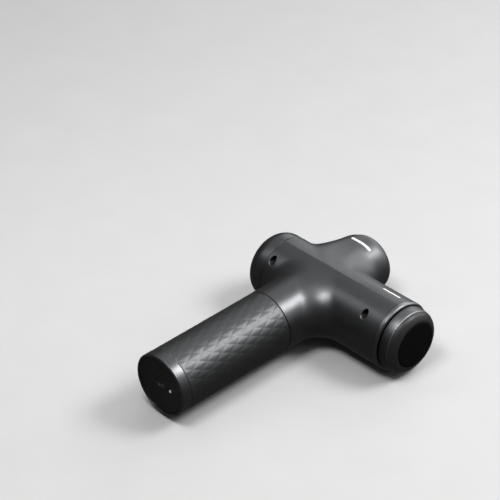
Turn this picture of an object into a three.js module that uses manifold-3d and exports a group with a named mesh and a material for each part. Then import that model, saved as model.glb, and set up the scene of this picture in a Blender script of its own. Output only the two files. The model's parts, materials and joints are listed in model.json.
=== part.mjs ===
// Percussion massage gun, lying on its side. Millimetres, +Z up.
// The working frame has its centre where the barrel axis crosses the handle axis:
// X runs along the barrel towards the massage head, Y runs along the handle axis from the
// handle towards the motor dome, and Z is up. The finished group is then moved so that its
// origin is the middle of the footprint, on the surface that the barrel lies on.

import * as THREE from 'three';
import { ParametricGeometry } from 'three/addons/geometries/ParametricGeometry.js';
import { mergeVertices } from 'three/addons/utils/BufferGeometryUtils.js';
import Module from 'manifold-3d';

const wasm = await Module();
wasm.setup();

// ---------- Driving dimensions ----------

const GAP = 0.3;
const WALL = 2.6;
const FINE = 28;
const COARSE = 16;
const SMALL = 8;

const BARREL_RADIUS = 29;
const REAR_SEAM = -41.3;
const REAR_FACE = -61.5;
const REAR_ROUNDING = 14;
const BARREL_FRONT = 83.9;
const BEZEL_FRONT = 88;

const HANDLE_RADIUS = 26.3;
const NECK_SPREAD = { rear: 14, front: 20 };
const NECK_REACH = { rear: 14, front: 20 };
const NECK_SWELL = { rear: 0, front: 0 };
const GRIP_TOP = -60.2;
const GRIP_BOTTOM = -164.1;
const HANDLE_END = -173.4;
const CORE_RADIUS = 22;
const CORE_TOP = -43;

const DOME_X = -1.8;
const DOME_RADIUS = 24.3;
const DOME_SPREAD = { rear: 15, front: 17 };
const DOME_REACH = { rear: 24, front: 20 };
const DOME_END = 62.3;
const DOME_ROUNDING = 9.5;
const DOME_SWELL = { rear: 5, front: 1 };
const VENT_RADIUS = 13;
const SADDLE_RISE = THREE.MathUtils.degToRad(72);

const SCREW_PLACES = [66.4, -35.8];
const SCREW_OFFSET = 21.2;
const SCREW_BOSS = 4.5;
const SCREW_WELL = 2.9;
const SCREW_SEAT = -12;
const SCREW_REACH = 11;
const SCREW_HEAD = 2.5;
const SCREW_SHANK = 1.5;
const SCREW_HOLE = 1.8;
const SCREW_KEY = 1.1;

const STROKE = 12;
const ROD_LENGTH = 42;
const ROD_HALF_WIDTH = 4;
const CRANK_THROW = STROKE / 2;
const BIG_END_X = DOME_X - CRANK_THROW;
const WRIST_X = BIG_END_X + ROD_LENGTH;
const WRIST_PIN_RADIUS = 3;
const SMALL_BUSH_RADIUS = 4.6;
const CRANK_PIN_RADIUS = 4;
const BIG_BEARING_RADIUS = 9;
const PISTON_RADIUS = 11;
const PISTON_BACK = WRIST_X - 9;
const PISTON_FRONT = 85;
const SOCKET_RADIUS = 7.6;
const SOCKET_DEPTH = 23.5;

const HEAD_BACK = 88.6;
const HEAD_EDGE = 96.3;
const HEAD_FACE = 103;
const HEAD_RADIUS = 27.6;
const HEAD_EDGE_RADIUS = 26.4;
const FACE_PAD_RADIUS = 19.3;

const MOTOR_MOUNT = 18.6;
const ROTOR_TOP = 53;
const ROTOR_RADIUS = 18.5;
const SHAFT_RADIUS = 2.5;

const BUTTON_RADIUS = 6;
const BUTTON_PROUD = 0.7;
const PANEL_RADIUS = 13.5;
const ARC_INNER = 9.3;
const ARC_OUTER = 10.7;
const ARC_REACH = THREE.MathUtils.degToRad(105);
const SWITCH_BACK = -52.3;
const DISPLAY_BOARD_RADIUS = 22;
const BOARD_THICKNESS = 1.6;

const CELL_RADIUS = 9.1;
const CELL_LENGTH = 65;
const CELL_TOP = -95;
const HOLDER_THICKNESS = 2;
const CONTROLLER_HALF_THICKNESS = 0.8;

// ---------- Finishes ----------

const HANDLE_SHELL = { color: 0x37393c, roughness: 0.38, metalness: 0.35 };
const DOME_SHELL = { color: 0x4b4d50, roughness: 0.42, metalness: 0.35 };
const DARK_PLASTIC = { color: 0x17181a, roughness: 0.5, metalness: 0 };
const SILICONE = { color: 0x3b3c3e, roughness: 0.6, metalness: 0 };
const SATIN_METAL = { color: 0x505255, roughness: 0.3, metalness: 0.8 };
const BRIGHT_METAL = { color: 0xb9bbbe, roughness: 0.2, metalness: 1 };
const STEEL = { color: 0x8e9196, roughness: 0.35, metalness: 1 };
const ALUMINIUM = { color: 0xa9acb0, roughness: 0.4, metalness: 1 };
const BRASS = { color: 0xb08d48, roughness: 0.4, metalness: 1 };
const RUBBER = { color: 0x111112, roughness: 0.8, metalness: 0 };
const COPPER = { color: 0xa8602c, roughness: 0.45, metalness: 1 };
const MAGNET = { color: 0x5b5c60, roughness: 0.5, metalness: 0.8 };
const CIRCUIT_BOARD = { color: 0x1f4a33, roughness: 0.6, metalness: 0 };
const CELL_WRAP = { color: 0x2f6f8f, roughness: 0.5, metalness: 0 };
const CLEAR_LIGHT = { color: 0xd8dcdf, roughness: 0.3, metalness: 0 };
const GLOSS_PANEL = { color: 0x0c0c0d, roughness: 0.12, metalness: 0 };

// ---------- Solids ----------

// Turns a closed geometry into a solid that can be joined and cut.
function solidOf(geometry) {
  geometry.deleteAttribute('normal');
  geometry.deleteAttribute('uv');
  const merged = mergeVertices(geometry);
  const corners = merged.index.array;
  const faces = [];
  for (let i = 0; i < corners.length; i += 3) {
    const [a, b, c] = [corners[i], corners[i + 1], corners[i + 2]];
    if (a !== b && b !== c && c !== a) faces.push(a, b, c);
  }
  const mesh = new wasm.Mesh({
    numProp: 3,
    vertProperties: new Float32Array(merged.attributes.position.array),
    triVerts: new Uint32Array(faces),
  });
  return new wasm.Manifold(mesh);
}

function geometryOf(solid) {
  const { vertProperties, triVerts } = solid.getMesh();
  const geometry = new THREE.BufferGeometry();
  geometry.setAttribute('position', new THREE.BufferAttribute(vertProperties, 3));
  geometry.setIndex(new THREE.BufferAttribute(triVerts, 1));
  geometry.computeVertexNormals();
  return geometry;
}

// An outline is a list of [position along the axis, radius], from the low end to the high end.
function turned(axis, outline, centre = [0, 0, 0], segments = COARSE) {
  const points = outline.map(([along, radius]) => new THREE.Vector2(radius, along));
  const geometry = new THREE.LatheGeometry(points, segments);
  if (axis === 'x') geometry.rotateZ(-Math.PI / 2);
  if (axis === 'z') geometry.rotateX(Math.PI / 2);
  return solidOf(geometry.translate(...centre));
}

function rod(axis, radius, from, to, centre, segments) {
  return turned(axis, [[from, 0], [from, radius], [to, radius], [to, 0]], centre, segments);
}

function tube(axis, inner, outer, from, to, centre, segments) {
  const outline = [[from, inner], [from, outer], [to, outer], [to, inner], [from, inner]];
  return turned(axis, outline, centre, segments);
}

function block(low, high) {
  const size = high.map((value, i) => value - low[i]);
  const middle = high.map((value, i) => (value + low[i]) / 2);
  return solidOf(new THREE.BoxGeometry(...size).translate(...middle));
}

// A quarter-round corner between a flat end and a round side, as outline points.
function roundedCorner(along, radius, rounding, steps) {
  const points = [];
  for (let i = 0; i <= steps; i++) {
    const angle = (Math.PI / 2) * (i / steps);
    points.push([
      along + rounding * Math.sin(angle),
      radius - rounding + rounding * Math.cos(angle),
    ]);
  }
  return points;
}

const mirrored = (outline) => outline.map(([along, radius]) => [-along, radius]).reverse();

// The fillet that flares a round tube on the Y axis into the barrel, as a ring-shaped solid.
// side is -1 for the neck and 1 for the dome. spread is how far it runs along the barrel and
// reach how far it runs along the tube. swell is how far it stands off the corner between the
// two. Each is given towards the rear and towards the front.
function saddleFillet(side, tubeX, tubeRadius, spread, reach, swell) {
  const curveSteps = 6;
  const sectionSteps = curveSteps + 3;
  const sunk = 0.15;
  const tubeScale = 1 - sunk / tubeRadius;
  const inBarrel = BARREL_RADIUS - sunk;
  const towards = (value, angle) =>
    THREE.MathUtils.lerp(value.rear, value.front, (1 + Math.cos(angle)) / 2);
  const edgeAt = (angle) => {
    const climb = SADDLE_RISE * Math.sin(angle);
    const across = tubeRadius * Math.cos(angle);
    const height = tubeRadius * Math.sin(angle);
    const turnY = (BARREL_RADIUS - height * Math.sin(climb)) / Math.cos(climb);
    const endX = tubeX + (tubeRadius + towards(spread, angle)) * Math.cos(angle);
    return {
      start: [tubeX + across * tubeScale, turnY + towards(reach, angle), height * tubeScale],
      middle: [tubeX + across + towards(swell, angle) * Math.cos(angle), turnY, height],
      end: [endX, inBarrel * Math.cos(climb), inBarrel * Math.sin(climb)],
    };
  };
  const pointOn = (u, v, target) => {
    const angle = -2 * Math.PI * v;
    const { start, middle, end } = edgeAt(angle);
    const step = Math.round(u * sectionSteps) % sectionSteps;
    const core = [tubeX + 0.5 * tubeRadius * Math.cos(angle), 0.5 * tubeRadius * Math.sin(angle)];
    let point;
    if (step <= curveSteps) {
      const t = step / curveSteps;
      point = start.map((value, i) =>
        (1 - t) ** 2 * value + 2 * t * (1 - t) * middle[i] + t ** 2 * end[i]);
    } else if (step === curveSteps + 1) {
      point = [core[0], 2, core[1]];
    } else {
      point = [core[0], start[1], core[1]];
    }
    target.set(point[0], side * point[1], side * point[2]);
  };
  return solidOf(new ParametricGeometry(pointOn, sectionSteps, FINE));
}

// ---------- Scene graph ----------

const gun = new THREE.Group();

function piece(name, solid, finish) {
  const mesh = new THREE.Mesh(geometryOf(solid), new THREE.MeshStandardMaterial(finish));
  mesh.name = name;
  gun.add(mesh);
}

// ---------- Housing shells ----------

const motorAxis = [DOME_X, 0, 0];
const screwCentres = SCREW_PLACES.flatMap((x) => [[x, 0, SCREW_OFFSET], [x, 0, -SCREW_OFFSET]]);

function barrelSkin() {
  return rod('x', BARREL_RADIUS, REAR_SEAM, BARREL_FRONT, [0, 0, 0], FINE);
}

function barrelCavity() {
  return rod('x', BARREL_RADIUS - WALL, REAR_SEAM - 1, BARREL_FRONT + 1, [0, 0, 0], FINE);
}

function addBosses(shell, skin, from, to) {
  return screwCentres.reduce(
    (body, centre) => body.add(rod('y', SCREW_BOSS, from, to, centre).intersect(skin)),
    shell,
  );
}

function drill(shell, radius, from, to) {
  return screwCentres.reduce(
    (body, centre) => body.subtract(rod('y', radius, from, to, centre, SMALL)),
    shell,
  );
}

const FAR = 200;
const handleSide = block([-FAR, -FAR, -FAR], [FAR, -GAP / 2, FAR]);
const domeSide = block([-FAR, GAP / 2, -FAR], [FAR, FAR, FAR]);

function handleSideHousing() {
  const neck = rod('y', HANDLE_RADIUS, GRIP_TOP + GAP / 2, 0, [0, 0, 0], FINE);
  const flare = saddleFillet(-1, 0, HANDLE_RADIUS, NECK_SPREAD, NECK_REACH, NECK_SWELL);
  const skin = barrelSkin().add(neck).add(flare).intersect(handleSide);
  const neckCavity = rod('y', CORE_RADIUS + GAP, GRIP_TOP - 1, 0, [0, 0, 0], FINE);
  let shell = skin.subtract(barrelCavity()).subtract(neckCavity);
  shell = addBosses(shell, skin, -BARREL_RADIUS, 0);
  shell = drill(shell, SCREW_WELL, -BARREL_RADIUS, SCREW_SEAT);
  return drill(shell, SCREW_HOLE, SCREW_SEAT - 1, 0);
}

function domeSideHousing() {
  const dome = turned('y', [
    [0, 0],
    [0, DOME_RADIUS],
    ...roundedCorner(DOME_END - DOME_ROUNDING, DOME_RADIUS, DOME_ROUNDING, 5),
    [DOME_END, 0],
  ], motorAxis, FINE);
  const flare = saddleFillet(1, DOME_X, DOME_RADIUS, DOME_SPREAD, DOME_REACH, DOME_SWELL);
  const skin = barrelSkin().add(dome).add(flare).intersect(domeSide);
  const motorCavity = turned('y', [
    [-1, 0],
    [-1, DOME_RADIUS - WALL],
    ...roundedCorner(DOME_END - DOME_ROUNDING, DOME_RADIUS - WALL, DOME_ROUNDING - WALL, 4),
    [DOME_END - WALL, 0],
  ], motorAxis, FINE);
  const vent = rod('y', VENT_RADIUS, DOME_END - 5, DOME_END + 1, motorAxis, FINE);
  const shell = addBosses(skin.subtract(barrelCavity()), skin, 0, SCREW_REACH + 2);
  return drill(shell.subtract(motorCavity).subtract(vent), SCREW_HOLE, 0, SCREW_REACH);
}

function rearCap() {
  const outline = (radius, face, rounding) => mirrored([
    [-REAR_SEAM + GAP, 0],
    [-REAR_SEAM + GAP, radius],
    ...roundedCorner(face - rounding, radius, rounding, 5),
    [face, 0],
  ]);
  const skin = turned('x', outline(BARREL_RADIUS, -REAR_FACE, REAR_ROUNDING), [0, 0, 0], FINE);
  const inner = outline(BARREL_RADIUS - WALL, -REAR_FACE - WALL, REAR_ROUNDING - WALL);
  inner[inner.length - 1][0] += 1;
  inner[inner.length - 2][0] += 1;
  const cavity = turned('x', inner, [0, 0, 0], FINE);
  const window = rod('x', PANEL_RADIUS + GAP, REAR_FACE - 1, REAR_FACE + 5, [0, 0, 0], FINE);
  return skin.subtract(cavity).subtract(window);
}

function frontBezel() {
  const lip = 0.5;
  const bore = 13.2;
  return turned('x', [
    [BARREL_FRONT + GAP, bore],
    [BARREL_FRONT + GAP, BARREL_RADIUS - lip],
    [BARREL_FRONT + GAP + lip, BARREL_RADIUS],
    [BEZEL_FRONT - 1, BARREL_RADIUS - 0.2],
    [BEZEL_FRONT, BARREL_RADIUS - 0.8],
    [BEZEL_FRONT, bore],
    [BARREL_FRONT + GAP, bore],
  ], [0, 0, 0], FINE);
}

piece('handle_side_housing', handleSideHousing(), HANDLE_SHELL);
piece('dome_side_housing', domeSideHousing(), DOME_SHELL);
piece('rear_cap', rearCap(), HANDLE_SHELL);
piece('front_bezel', frontBezel(), SATIN_METAL);

screwCentres.forEach((centre, i) => {
  const screw = turned('y', [
    [SCREW_SEAT - 2, 0],
    [SCREW_SEAT - 2, SCREW_HEAD],
    [SCREW_SEAT - GAP, SCREW_HEAD],
    [SCREW_SEAT - GAP, SCREW_SHANK],
    [SCREW_REACH - 1, SCREW_SHANK],
    [SCREW_REACH - 1, 0],
  ], centre, SMALL);
  const keyway = rod('y', SCREW_KEY, SCREW_SEAT - 3, SCREW_SEAT - 0.9, centre, 6);
  piece(`housing_screw_${i + 1}`, screw.subtract(keyway), STEEL);
});

// ---------- Rear panel ----------

function displayPanel() {
  const back = REAR_FACE + WALL;
  const hole = BUTTON_RADIUS + GAP;
  const panel = turned('x', [
    [REAR_FACE, hole],
    [REAR_FACE, PANEL_RADIUS],
    [back + GAP, PANEL_RADIUS],
    [back + GAP, PANEL_RADIUS + 2],
    [back + GAP + 1, PANEL_RADIUS + 2],
    [back + GAP + 1, hole],
    [REAR_FACE, hole],
  ], [0, 0, 0], FINE);
  return panel.subtract(lightArc(GAP, REAR_FACE - 1, REAR_FACE + 5));
}

// The curved light bar beside the button; spare widens it all round, for its slot.
function lightArc(spare, from, to) {
  const shape = new THREE.Shape();
  const reach = ARC_REACH + spare / ARC_OUTER;
  shape.absarc(0, 0, ARC_OUTER + spare, -reach, reach, false);
  shape.absarc(0, 0, ARC_INNER - spare, reach, -reach, true);
  const options = { depth: to - from, bevelEnabled: false, curveSegments: 14 };
  const geometry = new THREE.ExtrudeGeometry(shape, options).rotateY(Math.PI / 2);
  return solidOf(geometry.translate(from, 0, 0));
}

const buttonBack = REAR_FACE + WALL + GAP + 1 + GAP;
piece('display_panel', displayPanel(), GLOSS_PANEL);
piece('light_arc', lightArc(0, REAR_FACE + 0.1, buttonBack + 1), CLEAR_LIGHT);
piece('power_button', turned('x', [
  [REAR_FACE - BUTTON_PROUD, 0],
  [REAR_FACE - BUTTON_PROUD, BUTTON_RADIUS - 0.6],
  [REAR_FACE - BUTTON_PROUD + 0.6, BUTTON_RADIUS],
  [buttonBack, BUTTON_RADIUS],
  [buttonBack, BUTTON_RADIUS + 1.6],
  [buttonBack + 0.9, BUTTON_RADIUS + 1.6],
  [buttonBack + 0.9, 0],
]), DARK_PLASTIC);
piece('button_switch', block([SWITCH_BACK - 2, -3, -3], [SWITCH_BACK, 3, 3]), DARK_PLASTIC);
const displayBoard = SWITCH_BACK + GAP;
piece('display_board',
  rod('x', DISPLAY_BOARD_RADIUS, displayBoard, displayBoard + BOARD_THICKNESS), CIRCUIT_BOARD);

// ---------- Piston, bush and seal ----------

function piston() {
  const body = turned('x', [
    [PISTON_BACK, 0],
    [PISTON_BACK, PISTON_RADIUS],
    [PISTON_FRONT, PISTON_RADIUS],
    [PISTON_FRONT, SOCKET_RADIUS],
    [PISTON_FRONT - SOCKET_DEPTH, SOCKET_RADIUS],
    [PISTON_FRONT - SOCKET_DEPTH, 0],
  ]);
  const halfSlot = ROD_HALF_WIDTH + 0.4;
  const slot = block([PISTON_BACK - 1, -halfSlot, -15], [WRIST_X + 10, halfSlot, 15]);
  const pinHole = rod('y', WRIST_PIN_RADIUS + GAP, -15, 15, [WRIST_X, 0, 0]);
  return body.subtract(slot).subtract(pinHole);
}

const BUSH_BACK = 52;
const BUSH_FRONT = 82.5;
const BUSH_RADIUS = 13;
const BUSH_LIP = 1.2;
const HOLDER_RADIUS = 16;

function bushHolder() {
  const flange = 3;
  return turned('x', [
    [BUSH_BACK - flange, BUSH_RADIUS - BUSH_LIP],
    [BUSH_BACK - flange, HOLDER_RADIUS],
    [BUSH_FRONT - flange, HOLDER_RADIUS],
    [BUSH_FRONT - flange, BARREL_RADIUS - WALL - GAP],
    [BUSH_FRONT, BARREL_RADIUS - WALL - GAP],
    [BUSH_FRONT, BUSH_RADIUS + GAP],
    [BUSH_BACK - GAP, BUSH_RADIUS + GAP],
    [BUSH_BACK - GAP, BUSH_RADIUS - BUSH_LIP],
    [BUSH_BACK - flange, BUSH_RADIUS - BUSH_LIP],
  ]);
}

piece('piston', piston(), STEEL);
piece('wrist_pin', rod('y', WRIST_PIN_RADIUS, -9.5, 9.5, [WRIST_X, 0, 0]), BRIGHT_METAL);
piece('piston_bush', tube('x', PISTON_RADIUS + GAP, BUSH_RADIUS, BUSH_BACK, BUSH_FRONT), BRASS);
piece('bush_holder', bushHolder(), ALUMINIUM);
piece('dust_seal', turned('x', [
  [BARREL_FRONT + GAP, PISTON_RADIUS + GAP],
  [BARREL_FRONT + GAP, 12.9],
  [BEZEL_FRONT - 0.5, 12.9],
  [BEZEL_FRONT - 1.5, PISTON_RADIUS + GAP],
  [BARREL_FRONT + GAP, PISTON_RADIUS + GAP],
]), RUBBER);

// ---------- Connecting rod ----------

function connectingRod() {
  const wide = ROD_HALF_WIDTH;
  const bigEnd = rod('y', 12.5, -wide, wide, [BIG_END_X, 0, 0]);
  const smallEnd = rod('y', 8, -wide, wide, [WRIST_X, 0, 0]);
  const shank = block([BIG_END_X, 1 - wide, -5.5], [WRIST_X, wide - 1, 5.5]);
  const bigBore = rod('y', BIG_BEARING_RADIUS + GAP, -15, 15, [BIG_END_X, 0, 0]);
  const smallBore = rod('y', SMALL_BUSH_RADIUS + GAP, -15, 15, [WRIST_X, 0, 0]);
  return bigEnd.add(smallEnd).add(shank).subtract(bigBore).subtract(smallBore);
}

const CRANK_FACE = 5.5;
piece('connecting_rod', connectingRod(), ALUMINIUM);
piece('big_end_bearing',
  tube('y', CRANK_PIN_RADIUS + GAP, BIG_BEARING_RADIUS, -3.5, 3.5, [BIG_END_X, 0, 0]),
  BRIGHT_METAL);
piece('small_end_bush',
  tube('y', WRIST_PIN_RADIUS + GAP, SMALL_BUSH_RADIUS, -3.8, 3.8, [WRIST_X, 0, 0]), BRASS);
piece('crank_pin',
  rod('y', CRANK_PIN_RADIUS, -4.5, CRANK_FACE - GAP, [BIG_END_X, 0, 0]), BRIGHT_METAL);

// ---------- Crank and motor ----------

const CRANK_BACK = 11.5;

function crankWheel() {
  const disc = rod('y', 13, CRANK_FACE, CRANK_BACK, motorAxis);
  const shaftHole = rod('y', SHAFT_RADIUS + GAP, 0, 20, motorAxis);
  const pinSeat = rod('y', CRANK_PIN_RADIUS + GAP, 0, CRANK_FACE + 3, [BIG_END_X, 0, 0]);
  return disc.subtract(shaftHole).subtract(pinSeat);
}

function counterweight() {
  const ring = tube('y', SHAFT_RADIUS + GAP, 18, CRANK_BACK + GAP, 16, motorAxis);
  const hub = tube('y', SHAFT_RADIUS + GAP, 7, CRANK_BACK + GAP, 16, motorAxis);
  return ring.intersect(block([DOME_X, 0, -20], [20, 20, 20])).add(hub);
}

piece('crank_wheel', crankWheel(), STEEL);
piece('counterweight', counterweight(), STEEL);
piece('motor_shaft', rod('y', SHAFT_RADIUS, CRANK_FACE + 1, ROTOR_TOP + 1, motorAxis), BRIGHT_METAL);

const BEARING_RADIUS = 6;
const BEARING_SEAT = BEARING_RADIUS + GAP;
const MOUNT_THICKNESS = 3;
const MOTOR_SCREW_CIRCLE = 14.5;
const BEARING_TUBE_TOP = 50;
const motorScrewCentres = [30, 150, 270].map((degrees) => {
  const angle = THREE.MathUtils.degToRad(degrees);
  return [DOME_X + MOTOR_SCREW_CIRCLE * Math.cos(angle), 0, MOTOR_SCREW_CIRCLE * Math.sin(angle)];
});

function motorMount() {
  const plateBack = MOTOR_MOUNT + MOUNT_THICKNESS;
  let mount = turned('y', [
    [MOTOR_MOUNT, BEARING_SEAT],
    [MOTOR_MOUNT, DOME_RADIUS - WALL - GAP],
    [plateBack, DOME_RADIUS - WALL - GAP],
    [plateBack, BEARING_SEAT + 1.7],
    [BEARING_TUBE_TOP, BEARING_SEAT + 1.7],
    [BEARING_TUBE_TOP, BEARING_SEAT],
    [MOTOR_MOUNT, BEARING_SEAT],
  ], motorAxis);
  for (const centre of motorScrewCentres) {
    mount = mount.subtract(rod('y', 1.8, MOTOR_MOUNT - 1, plateBack + 1, centre, SMALL));
  }
  return mount;
}

// The laminated core: a ring with T-shaped teeth.
function statorCore(from, to) {
  const teeth = 9;
  const middle = (from + to) / 2;
  let core = tube('y', BEARING_SEAT + 2, 10, from, to);
  const rim = tube('y', 13.2, 15.2, from, to);
  for (let i = 0; i < teeth; i++) {
    const turn = (2 * Math.PI * i) / teeth;
    const stem = new THREE.BoxGeometry(6, to - from, 2.4).translate(11.5, middle, 0);
    const shoe = new THREE.BoxGeometry(5, to - from, 6.5).translate(14.5, middle, 0);
    core = core.add(solidOf(stem.rotateY(turn)));
    core = core.add(solidOf(shoe.rotateY(turn)).intersect(rim));
  }
  return solidOf(geometryOf(core).translate(...motorAxis));
}

function rotorCan() {
  const skirt = 26;
  const thickness = 1.5;
  return turned('y', [
    [skirt, ROTOR_RADIUS - thickness],
    [skirt, ROTOR_RADIUS],
    [ROTOR_TOP - 1, ROTOR_RADIUS],
    [ROTOR_TOP, ROTOR_RADIUS - 1],
    [ROTOR_TOP, SHAFT_RADIUS + GAP],
    [ROTOR_TOP - thickness, SHAFT_RADIUS + GAP],
    [ROTOR_TOP - thickness, ROTOR_RADIUS - thickness],
    [skirt, ROTOR_RADIUS - thickness],
  ], motorAxis);
}

piece('motor_mount', motorMount(), ALUMINIUM);
[['front', 19], ['rear', BEARING_TUBE_TOP - 4]].forEach(([place, from]) => {
  const race = tube('y', SHAFT_RADIUS + GAP, BEARING_RADIUS, from, from + 4, motorAxis);
  piece(`motor_bearing_${place}`, race, BRIGHT_METAL);
});
piece('stator_core', statorCore(28, 44), STEEL);
piece('stator_winding', tube('y', BEARING_SEAT + 2, 14.5, 44 + GAP, 47.5, motorAxis), COPPER);
piece('rotor_can', rotorCan(), STEEL);
piece('rotor_magnets', tube('y', 15.6, ROTOR_RADIUS - 1.8, 27, 45, motorAxis), MAGNET);
motorScrewCentres.forEach((centre, i) => {
  const top = MOTOR_MOUNT - GAP;
  const screw = turned('y', [
    [top - 1.4, 0], [top - 1.4, 2.6], [top, 2.6], [top, 1.5], [top + 5, 1.5], [top + 5, 0],
  ], centre, SMALL);
  piece(`motor_screw_${i + 1}`, screw, STEEL);
});

function ventCover() {
  const flangeFrom = DOME_END - WALL - 2 * GAP - 0.8;
  let cover = turned('y', [
    [flangeFrom, 0],
    [flangeFrom, VENT_RADIUS + 1],
    [flangeFrom + 0.8, VENT_RADIUS + 1],
    [flangeFrom + 0.8, VENT_RADIUS - GAP],
    [DOME_END - 0.6, VENT_RADIUS - GAP],
    [DOME_END - 0.6, 0],
  ], motorAxis, FINE);
  const slots = 12;
  for (let i = 0; i < slots; i++) {
    const slot = new THREE.BoxGeometry(5, 10, 1.6).translate(8.5, DOME_END - 2, 0);
    slot.rotateY((2 * Math.PI * i) / slots).translate(...motorAxis);
    cover = cover.subtract(solidOf(slot));
  }
  return cover;
}

piece('dome_vent_cover', ventCover(), DARK_PLASTIC);

// ---------- Massage head ----------

const TRIM_THICKNESS = 0.8;
const HEAD_BORE = 7.5;
const STEM_RADIUS = 7.2;
const RING_GROOVE_X = 70;
const CAP_BACK = HEAD_EDGE + TRIM_THICKNESS + GAP;

function headBase() {
  return turned('x', [
    [HEAD_BACK, HEAD_BORE],
    [HEAD_BACK, HEAD_RADIUS - 0.4],
    [HEAD_BACK + 0.4, HEAD_RADIUS],
    [HEAD_EDGE - GAP, HEAD_EDGE_RADIUS],
    [HEAD_EDGE - GAP, HEAD_BORE],
    [HEAD_BACK, HEAD_BORE],
  ], [0, 0, 0], FINE);
}

function headCap() {
  const padHole = FACE_PAD_RADIUS + GAP;
  const padFloor = HEAD_FACE - 3;
  return turned('x', [
    [CAP_BACK, 0],
    [CAP_BACK, HEAD_EDGE_RADIUS - 0.2],
    [CAP_BACK + 1.6, HEAD_EDGE_RADIUS - 0.7],
    [CAP_BACK + 3.2, HEAD_EDGE_RADIUS - 2],
    [CAP_BACK + 4.4, HEAD_EDGE_RADIUS - 3.8],
    [HEAD_FACE - 0.4, padHole + 1.2],
    [HEAD_FACE - 0.4, padHole],
    [padFloor, padHole],
    [padFloor, 0],
  ], [0, 0, 0], FINE);
}

function headStem() {
  const back = PISTON_FRONT - SOCKET_DEPTH + 1;
  return turned('x', [
    [back, 0],
    [back, 6.4],
    [back + 1, STEM_RADIUS],
    [RING_GROOVE_X - 1, STEM_RADIUS],
    [RING_GROOVE_X - 1, STEM_RADIUS - 1.2],
    [RING_GROOVE_X + 1, STEM_RADIUS - 1.2],
    [RING_GROOVE_X + 1, STEM_RADIUS],
    [HEAD_EDGE - GAP, STEM_RADIUS],
    [HEAD_EDGE - GAP, 0],
  ]);
}

function headRing() {
  const points = [];
  const sides = 6;
  const thickness = 0.5;
  for (let i = 0; i <= sides; i++) {
    const angle = (2 * Math.PI * (i % sides)) / sides;
    points.push([
      RING_GROOVE_X + thickness * Math.sin(angle),
      STEM_RADIUS - 0.35 + thickness * Math.cos(angle),
    ]);
  }
  return turned('x', points);
}

piece('head_base', headBase(), SATIN_METAL);
piece('head_trim_ring',
  tube('x', 20, HEAD_EDGE_RADIUS, HEAD_EDGE, HEAD_EDGE + TRIM_THICKNESS, [0, 0, 0], FINE),
  BRIGHT_METAL);
piece('head_cap', headCap(), DARK_PLASTIC);
piece('head_face_pad', turned('x', [
  [HEAD_FACE - 3 + GAP, 0],
  [HEAD_FACE - 3 + GAP, FACE_PAD_RADIUS],
  [HEAD_FACE - 0.6, FACE_PAD_RADIUS],
  [HEAD_FACE, FACE_PAD_RADIUS - 0.8],
  [HEAD_FACE, 0],
], [0, 0, 0], FINE), RUBBER);
piece('head_stem', headStem(), DARK_PLASTIC);
piece('head_o_ring', headRing(), RUBBER);

// ---------- Handle ----------

piece('handle_core',
  tube('y', CORE_RADIUS - 1.4, CORE_RADIUS, GRIP_BOTTOM + 1, CORE_TOP, [0, 0, 0], FINE),
  DARK_PLASTIC);
piece('grip_sleeve',
  tube('y', CORE_RADIUS + GAP, HANDLE_RADIUS, GRIP_BOTTOM, GRIP_TOP - GAP / 2, [0, 0, 0], FINE),
  SILICONE);

const PLATE_RADIUS = 23.8;
const PLATE_SEAT = HANDLE_END + 2.8;
const PORT_HALF_WIDTH = 4.5;
const PORT_HALF_HEIGHT = 1.6;
const LIGHT_X = 11;
const LIGHT_RADIUS = 1.2;

function handleEndCap() {
  const rim = 0.8;
  return turned('y', [
    [HANDLE_END, PLATE_RADIUS + GAP],
    [HANDLE_END, HANDLE_RADIUS - rim],
    [HANDLE_END + rim, HANDLE_RADIUS],
    [GRIP_BOTTOM - GAP, HANDLE_RADIUS],
    [GRIP_BOTTOM - GAP, CORE_RADIUS + GAP],
    [PLATE_SEAT, CORE_RADIUS + GAP],
    [PLATE_SEAT, PLATE_RADIUS + GAP],
    [HANDLE_END, PLATE_RADIUS + GAP],
  ], [0, 0, 0], FINE);
}

function handleEndPlate() {
  const front = HANDLE_END + 0.5;
  const back = PLATE_SEAT - GAP;
  const plate = rod('y', PLATE_RADIUS, front, back, [0, 0, 0], FINE);
  const width = PORT_HALF_WIDTH + GAP;
  const height = PORT_HALF_HEIGHT + GAP;
  const port = block([-width, front - 1, -height], [width, back + 1, height]);
  const lightHole = rod('y', LIGHT_RADIUS + GAP, front - 1, back + 1, [LIGHT_X, 0, 0], SMALL);
  return plate.subtract(port).subtract(lightHole);
}

function usbInlet(front, back) {
  const shell = block(
    [-PORT_HALF_WIDTH, front, -PORT_HALF_HEIGHT],
    [PORT_HALF_WIDTH, back, PORT_HALF_HEIGHT],
  );
  const wall = 0.35;
  const width = PORT_HALF_WIDTH - wall;
  const height = PORT_HALF_HEIGHT - wall;
  const mouth = block([-width, front - 1, -height], [width, back - 1.2, height]);
  const tongue = block([-3.3, front + 0.8, -0.35], [3.3, back - 1, 0.35]);
  return shell.subtract(mouth).add(tongue);
}

const BOARD_FRONT = -165.9;
piece('handle_end_cap', handleEndCap(), SATIN_METAL);
piece('handle_end_plate', handleEndPlate(), DARK_PLASTIC);
piece('charge_board', rod('y', 20, BOARD_FRONT, BOARD_FRONT + BOARD_THICKNESS), CIRCUIT_BOARD);
piece('usb_c_inlet', usbInlet(HANDLE_END + 0.7, BOARD_FRONT - GAP), BRIGHT_METAL);
piece('charge_light',
  rod('y', LIGHT_RADIUS, HANDLE_END + 0.6, BOARD_FRONT - GAP, [LIGHT_X, 0, 0], SMALL),
  CLEAR_LIGHT);

// ---------- Battery and controller ----------

const CELL_CIRCLE = (CELL_RADIUS + GAP / 2) / Math.cos(Math.PI / 6);
const CELL_BOTTOM = CELL_TOP - CELL_LENGTH;

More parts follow.
